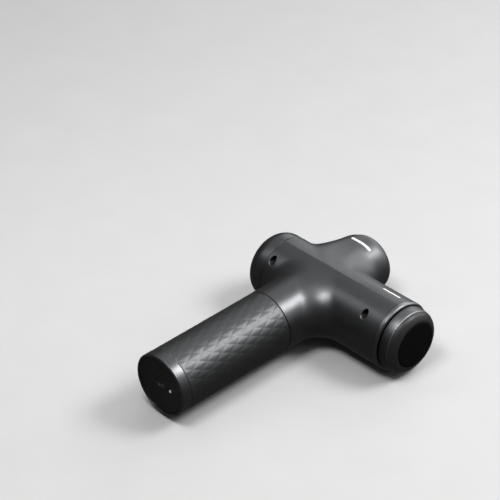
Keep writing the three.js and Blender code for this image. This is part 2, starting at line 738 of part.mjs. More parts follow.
for (let i = 0; i < 3; i++) {
  const angle = Math.PI / 2 + (2 * Math.PI * i) / 3;
  const centre = [CELL_CIRCLE * Math.cos(angle), 0, CELL_CIRCLE * Math.sin(angle)];
  const cell = turned('y', [
    [CELL_BOTTOM, 0],
    [CELL_BOTTOM, CELL_RADIUS],
    [CELL_TOP - 1, CELL_RADIUS],
    [CELL_TOP - 1, 4],
    [CELL_TOP, 4],
    [CELL_TOP, 0],
  ], centre);
  piece(`battery_cell_${i + 1}`, cell, CELL_WRAP);
}
[['upper', CELL_TOP + GAP], ['lower', CELL_BOTTOM - GAP - HOLDER_THICKNESS]].forEach(
  ([place, from]) => {
    piece(`battery_holder_${place}`, tube('y', 3, 20, from, from + HOLDER_THICKNESS), DARK_PLASTIC);
  },
);

const boardTop = CONTROLLER_HALF_THICKNESS;
piece('controller_board', block([-17, -89, -boardTop], [17, -47, boardTop]), CIRCUIT_BOARD);
piece('controller_capacitor', rod('z', 4, boardTop + GAP, 10, [-9, -58, 0]), DARK_PLASTIC);
piece('heat_sink', block([-12, -84, -8], [12, -64, -boardTop - GAP]), ALUMINIUM);

// ---------- Row origin ----------

const lowX = REAR_FACE - BUTTON_PROUD;
gun.position.set(-(lowX + HEAD_FACE) / 2, -(HANDLE_END + DOME_END) / 2, BARREL_RADIUS);

export default gun;
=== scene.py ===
"""A percussion massage gun lying on its side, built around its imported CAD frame.

Lengths are in millimetres from the point where the barrel axis crosses the handle axis, unless a
name ends in _M. X runs along the barrel to the massage head, Y from the handle to the motor dome.
"""

import json
import math

import bmesh
import bpy
import numpy as np
from mathutils import Matrix, Vector


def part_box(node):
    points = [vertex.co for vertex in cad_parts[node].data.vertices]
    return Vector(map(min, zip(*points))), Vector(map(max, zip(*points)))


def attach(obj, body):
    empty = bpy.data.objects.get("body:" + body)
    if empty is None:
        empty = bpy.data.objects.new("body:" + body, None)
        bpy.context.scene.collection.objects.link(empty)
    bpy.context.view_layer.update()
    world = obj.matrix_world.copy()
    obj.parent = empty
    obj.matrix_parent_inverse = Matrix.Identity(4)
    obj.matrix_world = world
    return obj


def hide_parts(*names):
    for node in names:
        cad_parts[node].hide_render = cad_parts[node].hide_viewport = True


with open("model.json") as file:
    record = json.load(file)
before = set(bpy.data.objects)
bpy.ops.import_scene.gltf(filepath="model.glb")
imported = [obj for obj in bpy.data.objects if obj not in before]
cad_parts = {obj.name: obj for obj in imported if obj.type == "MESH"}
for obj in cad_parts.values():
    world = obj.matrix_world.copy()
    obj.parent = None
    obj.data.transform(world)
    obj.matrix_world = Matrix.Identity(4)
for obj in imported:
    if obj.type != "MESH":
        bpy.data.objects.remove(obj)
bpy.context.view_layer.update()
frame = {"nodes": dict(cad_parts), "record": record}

MM = 0.001


def middle_of(node):
    low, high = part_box(node)
    return (low + high) / 2


CROSSING_M = np.array([
    middle_of("grip_sleeve").x,
    middle_of("front_bezel").y,
    middle_of("front_bezel").z,
])

# ---------- Sizes ----------

BARREL_RADIUS = 29.0
REAR_SEAM = -41.3
REAR_FACE = -61.5
BARREL_FRONT = 83.9
BEZEL_FRONT = 88.0
HANDLE_RADIUS = 26.3
GRIP_TOP = -60.2
GRIP_BOTTOM = -164.1
HANDLE_END = -173.4
CORE_RADIUS = 22.0
DOME_X = -1.8
DOME_RADIUS = 24.3
DOME_END = 62.3
DOME_ROUNDING = 10.0
VENT_RADIUS = 13.0
SCREW_PLACES = (66.4, -35.8)
SCREW_OFFSET = 21.2
SCREW_WELL = 2.9
SCREW_SEAT = -12.0
HEAD_BACK = 88.6
HEAD_EDGE = 96.3
HEAD_FACE = 103.0
HEAD_RADIUS = 27.6
HEAD_EDGE_RADIUS = 26.4
FACE_PAD_RADIUS = 19.3
PISTON_FRONT = 85.0
PISTON_RADIUS = 11.0
SOCKET_RADIUS = 7.6
WRIST_X = 34.2
SOCKET_DEPTH = 23.5
PANEL_RADIUS = 13.5
BUTTON_RADIUS = 6.0
BUTTON_PROUD = 0.7
PLATE_RADIUS = 23.8
PORT = (4.5, 1.6)
LIGHT_X = 11.0
LIGHT_RADIUS = 1.2
CHARGE_BOARD = -165.9
SHELL_WALL = 2.3
GAP = 0.3


# ---------- Camera ----------

CAMERA_PLACE = (968.9, -964.9, 990.7)
CAMERA_AZIMUTH = math.radians(47.485)
CAMERA_ELEVATION = math.radians(34.792)
CAMERA_ROLL = math.radians(-1.614)
LENS = 151.24
SENSOR = 36.0


def add_camera():
    data = bpy.data.cameras.new("camera")
    data.lens = LENS
    data.sensor_width = SENSOR
    data.clip_start = 0.05
    data.clip_end = 50
    camera = bpy.data.objects.new("camera", data)
    bpy.context.scene.collection.objects.link(camera)
    flat = math.cos(CAMERA_ELEVATION)
    back = Vector((
        math.sin(CAMERA_AZIMUTH) * flat,
        -math.cos(CAMERA_AZIMUTH) * flat,
        math.sin(CAMERA_ELEVATION),
    ))
    right = Vector((math.cos(CAMERA_AZIMUTH), math.sin(CAMERA_AZIMUTH), 0))
    up = back.cross(right)
    turn = Matrix.Rotation(CAMERA_ROLL, 3, back)
    axes = Matrix((turn @ right, turn @ up, back)).transposed()
    place = Vector(np.array(CAMERA_PLACE) * MM + CROSSING_M)
    camera.matrix_world = Matrix.Translation(place) @ axes.to_4x4()
    bpy.context.scene.camera = camera


add_camera()


# ---------- Meshes ----------

ROUND = 144


def smooth_faces(mesh, sharp, turn_outwards=False):
    """Shades a mesh smooth. Edges that turn more than sharp degrees stay crisp."""
    shape = bmesh.new()
    shape.from_mesh(mesh)
    if turn_outwards:
        bmesh.ops.recalc_face_normals(shape, faces=shape.faces)
    limit = math.radians(sharp)
    for face in shape.faces:
        face.smooth = True
    for edge in shape.edges:
        edge.smooth = len(edge.link_faces) == 2 and edge.calc_face_angle() < limit
    shape.to_mesh(mesh)
    shape.free()


def mesh_piece(name, points, faces, sharp=35):
    """An object from points in millimetres."""
    mesh = bpy.data.meshes.new(name)
    mesh.from_pydata((np.asarray(points) * MM + CROSSING_M).tolist(), [], faces)
    smooth_faces(mesh, sharp, turn_outwards=True)
    piece = bpy.data.objects.new(name, mesh)
    bpy.context.scene.collection.objects.link(piece)
    return piece


def softened(corners, closed=True, steps=5):
    """Rounds an outline's corners. Each corner is (along, radius) or (along, radius, size)."""
    spots = [np.array(corner[:2], float) for corner in corners]
    sizes = [corner[2] if len(corner) > 2 else 0 for corner in corners]
    outline = []
    for i, (spot, size) in enumerate(zip(spots, sizes)):
        ends = i in (0, len(spots) - 1) and not closed
        if not size or ends:
            outline.append(spot)
            continue
        before = spots[i - 1] - spot
        after = spots[(i + 1) % len(spots)] - spot
        start = spot + before / np.linalg.norm(before) * size
        end = spot + after / np.linalg.norm(after) * size
        for step in range(steps + 1):
            t = step / steps
            outline.append((1 - t) ** 2 * start + 2 * t * (1 - t) * spot + t ** 2 * end)
    return outline


def lathe(name, axis, outline, centre=(0, 0, 0), closed=True, around=ROUND, sharp=35):
    """Turns an outline of (along, radius) about an axis. An open outline starts and ends on it."""
    turns = np.arange(around) * 2 * math.pi / around
    points, rings = [], []
    for along, radius in outline:
        first = len(points)
        spots = [0.0] if radius < 1e-6 else turns
        for turn in spots:
            across, high = radius * math.cos(turn), radius * math.sin(turn)
            spot = {
                "x": (along, across, high),
                "y": (across, along, high),
                "z": (across, high, along),
            }[axis]
            points.append(np.add(spot, centre))
        rings.append(list(range(first, len(points))))
    faces = []
    pairs = list(zip(rings, rings[1:] + rings[:1])) if closed else list(zip(rings, rings[1:]))
    for low, high in pairs:
        for i in range(around):
            j = (i + 1) % around
            if len(low) == 1:
                faces.append((low[0], high[i], high[j]))
            elif len(high) == 1:
                faces.append((low[i], high[0], low[j]))
            else:
                faces.append((low[i], high[i], high[j], low[j]))
    return mesh_piece(name, points, faces, sharp)


def rod(name, axis, radius, start, end, centre=(0, 0, 0), around=48):
    """A plain round bar, used only to cut with."""
    outline = [(start, 0), (start, radius), (end, radius), (end, 0)]
    return lathe(name, axis, outline, centre, closed=False, around=around)


def ring_faces(rings, around, hollow=False):
    """Faces over rings of around points each: closed by end faces, or a tube if it is hollow."""
    last = rings * around - 1
    faces = [] if hollow else [list(range(around)), [last - i for i in range(around)]]
    for ring in range(rings if hollow else rings - 1):
        low = ring * around
        high = (ring + 1) % rings * around
        for i in range(around):
            j = (i + 1) % around
            faces.append((low + i, low + j, high + j, high + i))
    return faces


def stadium(name, rings, centre=(0, 0, 0), turn=0.0, around=40):
    """A round-ended solid along Y from rings of (place, half width, half height)."""
    points = []
    for place, half_width, half_height in rings:
        flat = half_width - half_height
        for i in range(around):
            angle = 2 * math.pi * (i + 0.5) / around
            x = half_height * math.cos(angle) + math.copysign(flat, math.cos(angle))
            z = half_height * math.sin(angle)
            points.append((
                centre[0] + x * math.cos(turn) - z * math.sin(turn),
                place,
                centre[2] + x * math.sin(turn) + z * math.cos(turn),
            ))
    return mesh_piece(name, points, ring_faces(len(rings), around))


def bent_bar(name, inner, outer, reach, front, back, edge=0.0):
    """A round-ended bar bent round the X axis, reach radians to each side of straight down."""
    middle, half = (inner + outer) / 2, (outer - inner) / 2
    limit = reach * middle
    blunt = 0.3
    end_spots, middle_spots = 7, 61
    ends = [-limit + half * (1 - math.cos(t)) for t in np.linspace(blunt, math.pi / 2, end_spots)]
    spots = ends[:-1] + list(np.linspace(ends[-1], -ends[-1], middle_spots))
    spots += [-spot for spot in ends[-2::-1]]
    points = []
    for along in spots:
        wide = math.sqrt(half ** 2 - max(abs(along) - limit + half, 0) ** 2)
        turn = along / middle
        section = [(back, -1), (front + edge, -1), (front, edge / half - 1),
                   (front, 1 - edge / half), (front + edge, 1), (back, 1)]
        for x, share in section:
            radius = middle + wide * share
            points.append((x, radius * math.sin(turn), -radius * math.cos(turn)))
    return mesh_piece(name, points, ring_faces(len(spots), len(section)))


def combine(piece, tool, how, sharp=35):
    """Joins tool to piece or cuts it away, and removes tool."""
    step = piece.modifiers.new("combine", "BOOLEAN")
    step.operation = how
    step.solver = "MANIFOLD"
    step.object = tool
    made = piece.evaluated_get(bpy.context.evaluated_depsgraph_get())
    mesh = bpy.data.meshes.new_from_object(made)
    piece.modifiers.remove(step)
    piece.data = mesh
    bpy.data.objects.remove(tool)
    smooth_faces(mesh, sharp)


# ---------- The skin of the housing, as a distance field ----------

NECK_FILLET = (14.0, 20.0)
DOME_FILLET = (16.5, 14.0)
DOME_CREST_SPREAD = 0.3
DOME_STRETCH = (3.5, 1.25)
CREST_FILLET = 4.0
CREST_WIDTH = 18
NECK_CHANGE = 15
FILLET_CHANGE = 12
STRETCH_CHANGE = 14
FILLET_FADE = (50, 66)
DOME_END_SOFTNESS = 1.2
CREASE_SLOPE = math.radians(7)
CREASE_WIDTH = math.radians(12)
CREASE_FRONT = (30, 58)
CREASE_REAR = (-54, -42)
CREASE_LEFT_AT_FRONT = 0.2
ROOF_SLOPE = math.radians(9)
ROOF_SOFTNESS = 1.0
ROOF_REAR = (-41, -20)
ROOF_REAR_SHARE = 0.5
ROOF_FOOT_SOFTNESS = 2.0


def eased(low, high, value):
    t = np.clip((value - low) / (high - low), 0, 1)
    return t * t * (3 - 2 * t)


def blend_of(pair, share):
    return pair[0] + (pair[1] - pair[0]) * share


def joined(a, b, fillet):
    """Distance to two shapes joined with a concave fillet."""
    fillet = np.maximum(fillet, 1e-3)
    near = np.hypot(np.maximum(fillet - a, 0), np.maximum(fillet - b, 0))
    return np.maximum(fillet, np.minimum(a, b)) - near


def crease_share(along):
    """1 where the crease along the barrel is crisp, falling off towards the front and the rear."""
    ahead = blend_of((1, CREASE_LEFT_AT_FRONT), eased(*CREASE_FRONT, along))
    return ahead * eased(*CREASE_REAR, along)


def crease_dip(across, high):
    """How far the handle side falls inside a true circle beside the crease."""
    angle = np.arctan2(np.abs(across), np.abs(high))
    return BARREL_RADIUS * np.tan(CREASE_SLOPE) * angle * np.exp(-angle / CREASE_WIDTH)


def softer_larger(a, b, softness):
    share = np.clip(0.5 + 0.5 * (a - b) / softness, 0, 1)
    return b + (a - b) * share + softness * share * (1 - share)


def roof(along, across, high):
    """Height over the flat roof that slopes from the crease down to the top of the dome."""
    share = blend_of((ROOF_REAR_SHARE, 1), eased(*ROOF_REAR, along))
    slope = np.tan(ROOF_SLOPE) * crease_share(along) * share
    level = softer_larger(BARREL_RADIUS - slope * across, DOME_RADIUS, ROOF_FOOT_SOFTNESS)
    return (np.abs(high) - level) * np.cos(ROOF_SLOPE)


def handle_skin(points):
    x, y, z = points.T
    from_barrel = np.hypot(y, z)
    from_neck = np.hypot(x, z)
    dip = crease_dip(y, z) * crease_share(x)
    lean = np.sqrt(np.clip(1 - z * z / (from_barrel * from_neck + 1e-6), 0, 1))
    fillet = blend_of(NECK_FILLET, eased(-NECK_CHANGE, NECK_CHANGE, x)) * lean
    return joined(from_barrel - BARREL_RADIUS + dip, from_neck - HANDLE_RADIUS, fillet)


def dome_skin(points):
    x, y, z = points.T
    from_barrel = np.hypot(y, z)
    from_dome = np.hypot(x - DOME_X, z)
    side = from_dome - DOME_RADIUS + DOME_ROUNDING
    end = y - DOME_END + DOME_ROUNDING
    dome = np.minimum(np.maximum(side, end), 0) - DOME_ROUNDING
    dome = dome + np.hypot(np.maximum(side, 0), np.maximum(end, 0))
    lean = np.sqrt(np.clip(1 - z * z / (from_barrel * from_dome + 1e-6), 0, 1))
    front = eased(-FILLET_CHANGE, FILLET_CHANGE, x - DOME_X)
    fillet = blend_of(DOME_FILLET, front) * lean ** blend_of((1, DOME_CREST_SPREAD), front)
    fillet = np.hypot(fillet, CREST_FILLET * np.exp(-((x - DOME_X) / CREST_WIDTH) ** 2))
    fillet = fillet * (1 - eased(*FILLET_FADE, y))
    stretch = blend_of(DOME_STRETCH, eased(-STRETCH_CHANGE, STRETCH_CHANGE, x - DOME_X))
    body = joined((from_barrel - BARREL_RADIUS) / stretch, dome, fillet)
    body = softer_larger(body, y - DOME_END, DOME_END_SOFTNESS)
    return softer_larger(body, roof(x, y, z), ROOF_SOFTNESS)


def slope_of(field, points, reach=0.02):
    slope = np.empty_like(points)
    for i in range(3):
        shift = np.zeros(3)
        shift[i] = reach
        slope[:, i] = (field(points + shift) - field(points - shift)) / (2 * reach)
    return slope


def onto_skin(field, points, rounds=6, least_steep=0.02):
    for _ in range(rounds):
        slope = slope_of(field, points)
        steep = np.maximum((slope ** 2).sum(1), least_steep)
        points = points - slope * (field(points) / steep)[:, None]
    return points


def skin_sheet(field, low, high, step=1.5):
    """Points and four-sided faces that lie where field is 0, one point to each grid cell."""
    low, high = np.array(low, float), np.array(high, float)
    counts = np.ceil((high - low) / step).astype(int) + 1
    lines = [low[i] + step * np.arange(counts[i]) for i in range(3)]
    grid = np.stack(np.meshgrid(*lines, indexing="ij"), -1)
    inside = (field(grid.reshape(-1, 3)) < 0).reshape(counts)
    corners = sum(
        inside[i:counts[0] - 1 + i, j:counts[1] - 1 + j, k:counts[2] - 1 + k].astype(int)
        for i in (0, 1) for j in (0, 1) for k in (0, 1)
    )
    crossed = (corners > 0) & (corners < 8)
    index = np.full(crossed.shape, -1)
    index[crossed] = np.arange(crossed.sum())
    points = low + step * (np.argwhere(crossed) + 0.5)
    faces = []
    for axis in range(3):
        others = [a for a in range(3) if a != axis]
        ahead = np.take(inside, range(1, counts[axis]), axis)
        behind = np.take(inside, range(counts[axis] - 1), axis)
        for cell in np.argwhere(ahead != behind):
            if any(not 0 < cell[a] < crossed.shape[a] for a in others):
                continue
            loop = []
            for shift in ((0, 0), (1, 0), (1, 1), (0, 1)):
                spot = cell.copy()
                spot[others[0]] -= shift[0]
                spot[others[1]] -= shift[1]
                loop.append(index[tuple(spot)])
            flip = bool(behind[tuple(cell)]) == (axis != 1)
            faces.append(loop if flip else loop[::-1])
    return evened(field, points, np.array(faces)), faces


def evened(field, points, faces, rounds=4, pull=0.6):
    """Spreads the points evenly over the skin."""
    points = onto_skin(field, points)
    pairs = np.concatenate([faces[:, [i, (i + 1) % 4]] for i in range(4)])
    pairs = np.concatenate([pairs, pairs[:, ::-1]])
    count = np.bincount(pairs[:, 0], minlength=len(points))
    for _ in range(rounds):
        total = np.zeros_like(points)
        np.add.at(total, pairs[:, 0], points[pairs[:, 1]])
        # Each face counts a point twice, so these points are in three faces or more.
        full = count >= 2 * 3
        middle = total[full] / count[full][:, None]
        points[full] = (1 - pull) * points[full] + pull * middle
        points = onto_skin(field, points, 3)
    return points


def shell(name, field, low, high, cuts, wall=SHELL_WALL):
    """A closed shell of the skin, cut off by planes with softly rounded lips.

    Each cut is (axis, place, direction, lip radius).
    """
    snap = 0.12
    points, faces = skin_sheet(field, low, high)
    sheet = bmesh.new()
    for point in points:
        sheet.verts.new(point)
    sheet.verts.ensure_lookup_table()
    for face in faces:
        sheet.faces.new([sheet.verts[i] for i in face])
    for axis, place, direction, lip in cuts:
        normal = Vector([direction if i == axis else 0 for i in range(3)])
        spot = normal * (place * direction - lip)
        bmesh.ops.bisect_plane(
            sheet, geom=sheet.verts[:] + sheet.edges[:] + sheet.faces[:], dist=snap,
            plane_co=spot, plane_no=normal, clear_outer=True,
        )
    loose = [vert for vert in sheet.verts if not vert.link_faces]
    bmesh.ops.delete(sheet, geom=loose, context="VERTS")
    sheet.verts.index_update()
    sheet.verts.ensure_lookup_table()
    outer = np.array([vert.co for vert in sheet.verts])
    loops = [[vert.index for vert in face.verts] for face in sheet.faces]
    rim = []
    for edge in sheet.edges:
        if len(edge.link_faces) == 1:
            corner = edge.link_loops[0]
            rim.append((corner.vert.index, corner.link_loop_next.vert.index))
    sheet.free()
    return closed_shell(name, field, outer, loops, rim, cuts, wall)


def closed_shell(name, field, outer, loops, rim, cuts, wall):
    lip_steps = 4
    count = len(outer)
    slope = slope_of(field, outer)
    facing = slope / np.linalg.norm(slope, axis=1)[:, None]
    inner = outer - facing * wall
    edge_points = sorted({i for pair in rim for i in pair})
    rows = {}
    extra = []
    for i in edge_points:
        beyond = np.zeros(3)
        inward = -facing[i]
        for axis, place, direction, lip in cuts:
            if abs(outer[i][axis] - (place - direction * lip)) < 1e-3:
                beyond[axis] += direction * lip
                inward[axis] = 0
        inward /= np.linalg.norm(inward)
        lip = max(abs(beyond))
        rows[i] = []
        for step in range(1, lip_steps + 1):
            turn = math.pi / 2 * step / lip_steps
            shift = beyond * math.sin(turn) + inward * lip * (1 - math.cos(turn))
            rows[i].append(2 * count + len(extra))
            extra.append(outer[i] + shift)
        rows[i].append(2 * count + len(extra))
        extra.append(outer[i] + beyond + inward * wall)
        inner[i] = outer[i] + inward * wall
    points = np.concatenate([outer, inner, np.array(extra)])
    faces = list(loops) + [[i + count for i in loop[::-1]] for loop in loops]
    for a, b in rim:
        down_a = [a, *rows[a], a + count]
        down_b = [b, *rows[b], b + count]
        for i in range(len(down_a) - 1):
            faces.append([down_b[i], down_a[i], down_a[i + 1], down_b[i + 1]])
    return mesh_piece(name, points, faces)


def shade_as_skin(piece, field, near=0.03, least_slope=0.3, same_way=0.8):
    """Gives the faces that lie on the skin the skin's own smooth normals."""
    mesh = piece.data
    spots = np.empty(len(mesh.vertices) * 3)
    mesh.vertices.foreach_get("co", spots)
    spots = (spots.reshape(-1, 3) - CROSSING_M) / MM
    slope = slope_of(field, spots)
    size = np.linalg.norm(slope, axis=1)
    facing = slope / np.maximum(size, 1e-9)[:, None]
    close = np.abs(field(spots)) < near * np.maximum(size, least_slope)
    corner_vert = np.empty(len(mesh.loops), int)
    mesh.loops.foreach_get("vertex_index", corner_vert)
    normal = np.empty(len(mesh.loops) * 3)
    mesh.corner_normals.foreach_get("vector", normal)
    normal = normal.reshape(-1, 3)
    face_normal = np.empty(len(mesh.polygons) * 3)
    mesh.polygons.foreach_get("normal", face_normal)
    totals = np.empty(len(mesh.polygons), int)
    mesh.polygons.foreach_get("loop_total", totals)
    face_normal = np.repeat(face_normal.reshape(-1, 3), totals, axis=0)
    wanted = facing[corner_vert]
    use = close[corner_vert] & ((wanted * face_normal).sum(1) > same_way)
    normal[use] = wanted[use]
    mesh.normals_split_custom_set(normal.tolist())


# ---------- Materials ----------


def linear(shade):
    """Linear light from a screen value of 0 to 255."""
    value = shade / 255
    return value / 12.92 if value <= 0.04045 else ((value + 0.055) / 1.055) ** 2.4


def tint(red, green, blue):
    return (linear(red), linear(green), linear(blue), 1)


class Finish:
    """A node material whose colour, roughness and surface vary over the piece."""

    def __init__(self, name, color, metallic=0.0, **sockets):
        self.material = bpy.data.materials.new(name)
        self.material.use_nodes = True
        self.tree = self.material.node_tree
        self.shader = self.tree.nodes["Principled BSDF"]
        self.color = color
        self.shader.inputs["Base Color"].default_value = color
        self.shader.inputs["Metallic"].default_value = metallic
        for socket, value in sockets.items():
            self.shader.inputs[socket.replace("_", " ")].default_value = value
        self.place = self.add("ShaderNodeTexCoord").outputs["Object"]
        self.height = None

    def add(self, kind, **settings):
        node = self.tree.nodes.new(kind)
        for key, value in settings.items():
            setattr(node, key, value)
        return node

    def link(self, output, socket):
        self.tree.links.new(output, socket)

    def noise(self, size, detail=3.0, stretch=(1, 1, 1), roughness=0.55):
        """Noise whose features are about size millimetres across."""
        mapping = self.add("ShaderNodeMapping")
        mapping.inputs["Scale"].default_value = [s / (size * MM) for s in stretch]
        self.link(self.place, mapping.inputs["Vector"])
        noise = self.add("ShaderNodeTexNoise")
        noise.inputs["Scale"].default_value = 1
        noise.inputs["Detail"].default_value = detail
        noise.inputs["Roughness"].default_value = roughness
        self.link(mapping.outputs["Vector"], noise.inputs["Vector"])
        return noise.outputs["Fac"]

    def ranged(self, value, low, high, start=0.3, end=0.7):
        node = self.add("ShaderNodeMapRange")
        node.inputs["From Min"].default_value = start
        node.inputs["From Max"].default_value = end
        node.inputs["To Min"].default_value = low
        node.inputs["To Max"].default_value = high
        self.link(value, node.inputs["Value"])
        return node.outputs["Result"]

    def vary_color(self, value, low, high):
        """Scales the colour between low and high by value."""
        mix = self.add("ShaderNodeMix", data_type="RGBA")
        self.link(self.ranged(value, 0, 1), mix.inputs["Factor"])
        mix.inputs["A"].default_value = [c * low for c in self.color[:3]] + [1]
        mix.inputs["B"].default_value = [c * high for c in self.color[:3]] + [1]
        self.link(mix.outputs["Result"], self.shader.inputs["Base Color"])
        return self

    def vary_roughness(self, value, low, high):
        self.link(self.ranged(value, low, high), self.shader.inputs["Roughness"])
        return self

    def bump(self, value, depth):
        """Adds surface relief of depth millimetres."""
        node = self.add("ShaderNodeBump")
        node.inputs["Strength"].default_value = 1
        node.inputs["Distance"].default_value = depth * MM
        self.link(value, node.inputs["Height"])
        if self.height is not None:
            self.link(self.height, node.inputs["Normal"])
        self.height = node.outputs["Normal"]
        self.link(self.height, self.shader.inputs["Normal"])
        return self


PAINT_METALLIC = 0.9


def paint(name, color, roughness):
    """Satin metallic paint: fine flake, and a very slight orange peel."""
    finish = Finish(name, color, PAINT_METALLIC, Coat_Weight=0.1, Coat_Roughness=0.25)
    finish.vary_color(finish.noise(0.25, 2), 0.9, 1.1)
    finish.vary_roughness(finish.noise(9, 4), roughness - 0.03, roughness + 0.03)
    finish.bump(finish.noise(0.22, 2), 0.0035)
    finish.bump(finish.noise(2.6, 2), 0.004)
    return finish.material


def brushed(name, color, roughness, axis, metallic=1.0, depth=0.004):
    """Metal with fine turned lines around an axis."""
    finish = Finish(name, color, metallic)
    stretch = [0.04 if i != axis else 1.0 for i in range(3)]
    lines = finish.noise(0.22, 3, stretch)
    finish.vary_color(lines, 0.85, 1.12)
    finish.vary_roughness(lines, roughness - 0.06, roughness + 0.08)
    finish.bump(lines, depth)
    return finish.material


def moulded(name, color, roughness, grain=0.5, depth=0.012, **sockets):
    """Moulded plastic or rubber with a fine etched grain."""
    finish = Finish(name, color, 0.0, **sockets)
    finish.vary_color(finish.noise(6, 4), 0.9, 1.1)
    finish.vary_roughness(finish.noise(grain * 3, 3), roughness - 0.05, roughness + 0.05)
    finish.bump(finish.noise(grain, 3), depth)
    return finish.material


def bare_metal(name, color, roughness, depth=0.006):
    """Machined or cast metal with faint tool marks and stains."""
    finish = Finish(name, color, 1.0)
    finish.vary_color(finish.noise(5, 5), 0.86, 1.08)
    finish.vary_roughness(finish.noise(1.5, 4), roughness - 0.07, roughness + 0.07)
    finish.bump(finish.noise(0.4, 3), depth)
    return finish.material


MATERIALS = {
    "handle_shell": paint("handle_shell", tint(88, 89, 91), 0.36),
    # Painted light: the dome side's paint is the handle side's paint made a little lighter,
    # standing in for the brighter light that side catches. Its higher roughness is its own finish.
    "dome_shell": paint("dome_shell", tint(94, 95, 97), 0.46),
    "satin_metal": paint("satin_metal", tint(92, 93, 95), 0.32),
    "satin_ring": brushed("satin_ring", tint(102, 103, 105), 0.4, 0, depth=0.002),
    "dark_plastic": moulded("dark_plastic", tint(22, 22, 23), 0.4),
    "silicone": paint("silicone", tint(82, 83, 84), 0.45),
    "bright_metal": brushed("bright_metal", tint(178, 179, 181), 0.3, 0, depth=0.001),
    "steel": bare_metal("steel", tint(150, 151, 154), 0.32),
    "aluminium": bare_metal("aluminium", tint(172, 174, 177), 0.4, 0.012),
    "bronze": bare_metal("bronze", tint(176, 140, 80), 0.4),
    "rubber": moulded("rubber", tint(9, 9, 9), 0.6, 0.6, 0.015, Specular_IOR_Level=0.3),
    "copper_wire": brushed("copper_wire", tint(178, 96, 52), 0.35, 1, depth=0.05),
    "magnet": bare_metal("magnet", tint(92, 93, 97), 0.42),
    "circuit_board": moulded("circuit_board", tint(28, 74, 50), 0.35),
    "cell_wrap": moulded("cell_wrap", tint(44, 104, 140), 0.38),
    "clear_light": moulded("clear_light", tint(216, 220, 223), 0.25),
    "gloss_panel": moulded("gloss_panel", tint(12, 12, 13), 0.12, 4, 0.002),
    "print": moulded("print", tint(232, 233, 234), 0.5),
    "turned_steel": brushed("turned_steel", tint(150, 151, 154), 0.28, 0, depth=0.002),
    "bezel_ring": brushed("bezel_ring", tint(134, 135, 137), 0.33, 0, depth=0.002),
    "trim_ring": brushed("trim_ring", tint(150, 151, 153), 0.42, 0, depth=0.001),
    "cap_plastic": moulded("cap_plastic", tint(34, 34, 35), 0.45),
    "face_rubber": moulded("face_rubber", tint(5, 5, 5), 0.75, 0.6, 0.015,
                           Specular_IOR_Level=0.12),
}


def dress(piece, finish):
    piece.data.materials.clear()
    piece.data.materials.append(MATERIALS[finish])


def mount(piece, body, slot, *nodes, finish=None):
    """Finishes a piece, fixes it to a CAD body and lets it stand for CAD nodes."""
    dress(piece, finish or slot)
    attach(piece, body)
    if nodes:
        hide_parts(*nodes)


# Each CAD node takes the material of its slot in the record. The pieces below replace some nodes.
for entry in frame["record"]["subparts"]:
    dress(frame["nodes"][entry["node"]], entry["material_slot"])


# ---------- Housing ----------

SEAM = 0.04
SEAM_LIP = 0.12
END_LIP = 0.35
FRONT_LIP = 0.06
BOSS_RADIUS = 4.5
BOSS_BELOW_SKIN = 0.6
SCREW_SHANK_HOLE = 1.8
SHADE_LINING_BORE = 2.7
BEZEL_HOLE = 13.2


def add_handle_side():
    cuts = [
        (1, -SEAM, 1, SEAM_LIP),
        (0, REAR_SEAM, -1, END_LIP),
        (0, BARREL_FRONT, 1, FRONT_LIP),
        (1, GRIP_TOP + GAP / 2, -1, 0.25),
    ]
    piece = shell("handle_side_shell", handle_skin, (-46, -65, -32), (88, 3, 32), cuts)
    for x in SCREW_PLACES:
        for side in (-1, 1):
            centre = (x, 0, side * SCREW_OFFSET)
            combine(piece, screw_boss(centre), "UNION")
    for x in SCREW_PLACES:
        for side in (-1, 1):
            combine(piece, screw_well((x, 0, side * SCREW_OFFSET)), "DIFFERENCE")
    shade_as_skin(piece, handle_skin)
    mount(piece, "housing", "handle_shell", "handle_side_housing")


def column(name, centre, rings, hollow=False, around=48):
    """A solid round about Y from rings of (radius, place), or a tube if it is hollow.

    A place is a Y value, or ("skin", depth) for a ring that follows the barrel at that depth.
    """
    points = []
    for radius, place in rings:
        for i in range(around):
            turn = 2 * math.pi * i / around
            x = centre[0] + radius * math.cos(turn)
            z = centre[2] + radius * math.sin(turn)
            y = place
            if isinstance(place, tuple):
                y = -math.sqrt(BARREL_RADIUS ** 2 - z * z) + place[1]
            points.append((x, y, z))
    return mesh_piece(name, points, ring_faces(len(rings), around, hollow))


def screw_boss(centre):
    """The round column under a screw well, its top following the barrel just under the skin."""
    return column("boss", centre, [
        (BOSS_RADIUS, ("skin", BOSS_BELOW_SKIN)), (BOSS_RADIUS, SCREW_SEAT + 1.5),
    ])


def screw_well(centre):
    """A deep hole with a bevelled mouth, and the screw's own hole at the bottom."""
    return column("well", centre, [
        (SCREW_WELL + 1.0, -40), (SCREW_WELL + 1.0, ("skin", -0.5)),
        (SCREW_WELL, ("skin", 0.5)), (SCREW_WELL, SCREW_SEAT),
        (SCREW_SHANK_HOLE, SCREW_SEAT), (SCREW_SHANK_HOLE, 5),
    ])


def add_dome_side():
    cuts = [
        (1, SEAM, -1, SEAM_LIP),
        (0, REAR_SEAM, -1, END_LIP),
        (0, BARREL_FRONT, 1, FRONT_LIP),
    ]
    piece = shell("dome_side_shell", dome_skin, (-46, -3, -32), (88, 65, 32), cuts)
    mouth = 0.5
    hole = softened([
        (DOME_END - 6, 0), (DOME_END - 6, VENT_RADIUS), (DOME_END, VENT_RADIUS, mouth),
        (DOME_END, VENT_RADIUS + 3), (DOME_END + 2, VENT_RADIUS + 3), (DOME_END + 2, 0),
    ], closed=False)
    tool = lathe("hole", "y", hole, (DOME_X, 0, 0), closed=False, around=96)
    combine(piece, tool, "DIFFERENCE")
    shade_as_skin(piece, dome_skin)
    mount(piece, "housing", "dome_shell", "dome_side_housing")


